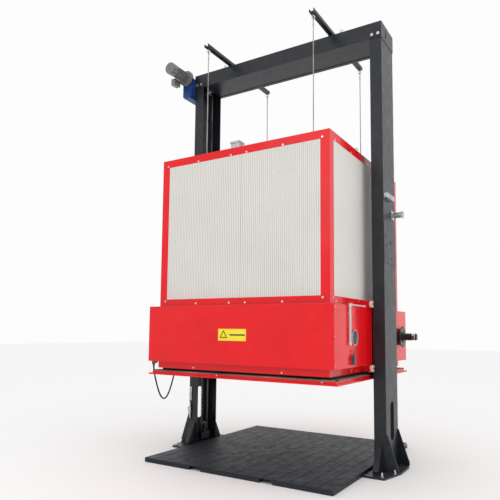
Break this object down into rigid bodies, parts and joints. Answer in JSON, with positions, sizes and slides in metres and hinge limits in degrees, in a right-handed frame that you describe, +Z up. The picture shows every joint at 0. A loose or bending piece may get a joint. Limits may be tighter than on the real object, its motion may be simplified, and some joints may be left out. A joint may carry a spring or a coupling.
{
  "type": "lifting-bell pallet shrink oven",
  "caption": "Pallet shrink-wrapping oven: an insulated bell with a hot-air ring and floating bumper frame slides down a two-column gantry over a loaded pallet on a floor deck.",
  "frame": {"origin": "on the floor, midway between the two columns", "axes": "+X along the crossbeam to the right, -Y is the loading front, +Z up"},
  "size_m": [2.822, 2.34, 4.809],
  "materials": {
    "deck_steel": "satin",
    "gantry_black": "satin",
    "bolt_zinc": "satin",
    "bell_red": "gloss",
    "panel_white": "satin",
    "screw_steel": "gloss",
    "galvanised": "satin",
    "rope_wire": "satin",
    "gear_blue": "satin",
    "motor_silver": "satin",
    "chain_steel": "oily",
    "shaft_steel": "turned",
    "wheel_iron": "machined",
    "nylon_white": "satin",
    "cable_black": "matt",
    "wool_board": "matt",
    "seal_weave": "woven",
    "pipe_white": "satin",
    "box_grey": "satin",
    "fan_motor_black": "satin"
  },
  "bodies": {
    "gantry": {"deck_frame": "deck_steel", "deck_planks": "deck_steel", "left_column": "gantry_black", "right_column": "gantry_black", "column_feet": "gantry_black", "gantry_bolts": "bolt_zinc", "crossbeam": "gantry_black", "rope_arms": "gantry_black", "rope_fittings": "bolt_zinc", "suspension_ropes": "rope_wire", "inner_ceiling": "galvanised", "gear_housing": "gear_blue", "motor_body": "motor_silver", "motor_covers": "motor_silver", "shaft_bearings": "wheel_iron", "lift_chains": "chain_steel", "idler_brackets": "gantry_black", "latch_units": "galvanised", "access_covers": "gantry_black", "limit_switch_rail": "galvanised", "cable_arm": "galvanised", "power_cable": "cable_black"},
    "bell": {"end_panels": "panel_white", "side_panels": "panel_white", "roof_panels": "panel_white", "corner_posts": "bell_red", "edge_trims": "bell_red", "trim_screws": "screw_steel", "roof_vent": "galvanised", "rope_bushes": "box_grey", "end_jackets": "bell_red", "side_jackets": "bell_red", "ring_insulation": "wool_board", "ring_duct": "galvanised", "base_flange": "bell_red", "burner_ports": "galvanised", "fan_motors": "fan_motor_black", "gas_pipes": "pipe_white", "control_boxes": "box_grey", "bumper_hangers": "bolt_zinc", "carriages": "bell_red", "chain_clamps": "wheel_iron", "dust_skirt": "cable_black"},
    "bumper": {"bumper_frame": "bell_red", "bumper_seal": "seal_weave"},
    "lift_shaft": {"drive_shaft": "shaft_steel"},
    "idler_left": {"idler_left": "wheel_iron"},
    "fan_left": {"fan_left": "galvanised"},
    "latch_left": {"latch_pin_left": "shaft_steel"},
    "roller_left_lower_front": {"roller_left_lower_front": "nylon_white"},
    "roller_left_lower_rear": {"roller_left_lower_rear": "nylon_white"},
    "roller_left_upper_front": {"roller_left_upper_front": "nylon_white"},
    "roller_left_upper_rear": {"roller_left_upper_rear": "nylon_white"},
    "idler_right": {"idler_right": "wheel_iron"},
    "fan_right": {"fan_right": "galvanised"},
    "latch_right": {"latch_pin_right": "shaft_steel"},
    "roller_right_lower_front": {"roller_right_lower_front": "nylon_white"},
    "roller_right_lower_rear": {"roller_right_lower_rear": "nylon_white"},
    "roller_right_upper_front": {"roller_right_upper_front": "nylon_white"},
    "roller_right_upper_rear": {"roller_right_upper_rear": "nylon_white"}
  },
  "joints": [
    {"name": "bell_lift", "type": "slide", "parent": "gantry", "child": "bell", "axis": [0, 0, 1], "range_m": [-0.85, 1.15], "deforming": ["power_cable"]},
    {"name": "bumper_float", "type": "slide", "parent": "bell", "child": "bumper", "axis": [0, 0, 1], "range_m": [0, 0.016]},
    {"name": "lift_shaft_spin", "type": "hinge", "parent": "gantry", "child": "lift_shaft", "pos_m": [0, 0, 4.605], "axis": [1, 0, 0], "range_deg": [-1110, 825]},
    {"name": "idler_left_spin", "type": "hinge", "parent": "gantry", "child": "idler_left", "pos_m": [-1.162, 0, 0.2], "axis": [1, 0, 0], "range_deg": [-1110, 825]},
    {"name": "fan_left_spin", "type": "hinge", "parent": "bell", "child": "fan_left", "pos_m": [-1, 0.838, 1.354], "axis": [1, 0, 0], "continuous": true},
    {"name": "latch_left_slide", "type": "slide", "parent": "gantry", "child": "latch_left", "axis": [1, 0, 0], "range_m": [0, 0.07], "stiffness_N_per_m": 400},
    {"name": "roller_left_lower_front_spin", "type": "hinge", "parent": "bell", "child": "roller_left_lower_front", "pos_m": [-1.121, -0.2353, 1.037], "axis": [1, 0, 0], "range_deg": [-1900, 1400]},
    {"name": "roller_left_lower_rear_spin", "type": "hinge", "parent": "bell", "child": "roller_left_lower_rear", "pos_m": [-1.121, 0.2353, 1.037], "axis": [1, 0, 0], "range_deg": [-1400, 1900]},
    {"name": "roller_left_upper_front_spin", "type": "hinge", "parent": "bell", "child": "roller_left_upper_front", "pos_m": [-1.121, -0.2353, 1.693], "axis": [1, 0, 0], "range_deg": [-1900, 1400]},
    {"name": "roller_left_upper_rear_spin", "type": "hinge", "parent": "bell", "child": "roller_left_upper_rear", "pos_m": [-1.121, 0.2353, 1.693], "axis": [1, 0, 0], "range_deg": [-1400, 1900]},
    {"name": "idler_right_spin", "type": "hinge", "parent": "gantry", "child": "idler_right", "pos_m": [1.162, 0, 0.2], "axis": [1, 0, 0], "range_deg": [-1110, 825]},
    {"name": "fan_right_spin", "type": "hinge", "parent": "bell", "child": "fan_right", "pos_m": [1, 0.838, 1.354], "axis": [1, 0, 0], "continuous": true},
    {"name": "latch_right_slide", "type": "slide", "parent": "gantry", "child": "latch_right", "axis": [-1, 0, 0], "range_m": [0, 0.07], "stiffness_N_per_m": 400},
    {"name": "roller_right_lower_front_spin", "type": "hinge", "parent": "bell", "child": "roller_right_lower_front", "pos_m": [1.121, -0.2353, 1.037], "axis": [1, 0, 0], "range_deg": [-1900, 1400]},
    {"name": "roller_right_lower_rear_spin", "type": "hinge", "parent": "bell", "child": "roller_right_lower_rear", "pos_m": [1.121, 0.2353, 1.037], "axis": [1, 0, 0], "range_deg": [-1400, 1900]},
    {"name": "roller_right_upper_front_spin", "type": "hinge", "parent": "bell", "child": "roller_right_upper_front", "pos_m": [1.121, -0.2353, 1.693], "axis": [1, 0, 0], "range_deg": [-1900, 1400]},
    {"name": "roller_right_upper_rear_spin", "type": "hinge", "parent": "bell", "child": "roller_right_upper_rear", "pos_m": [1.121, 0.2353, 1.693], "axis": [1, 0, 0], "range_deg": [-1400, 1900]}
  ],
  "couplings": [
    {"joint": "lift_shaft_spin", "follows": "bell_lift", "rad_per_m": -16.667},
    {"joint": "idler_left_spin", "follows": "bell_lift", "rad_per_m": -16.667},
    {"joint": "roller_left_lower_front_spin", "follows": "bell_lift", "rad_per_m": -28.571},
    {"joint": "roller_left_lower_rear_spin", "follows": "bell_lift", "rad_per_m": 28.571},
    {"joint": "roller_left_upper_front_spin", "follows": "bell_lift", "rad_per_m": -28.571},
    {"joint": "roller_left_upper_rear_spin", "follows": "bell_lift", "rad_per_m": 28.571},
    {"joint": "idler_right_spin", "follows": "bell_lift", "rad_per_m": -16.667},
    {"joint": "roller_right_lower_front_spin", "follows": "bell_lift", "rad_per_m": -28.571},
    {"joint": "roller_right_lower_rear_spin", "follows": "bell_lift", "rad_per_m": 28.571},
    {"joint": "roller_right_upper_front_spin", "follows": "bell_lift", "rad_per_m": -28.571},
    {"joint": "roller_right_upper_rear_spin", "follows": "bell_lift", "rad_per_m": 28.571}
  ]
}
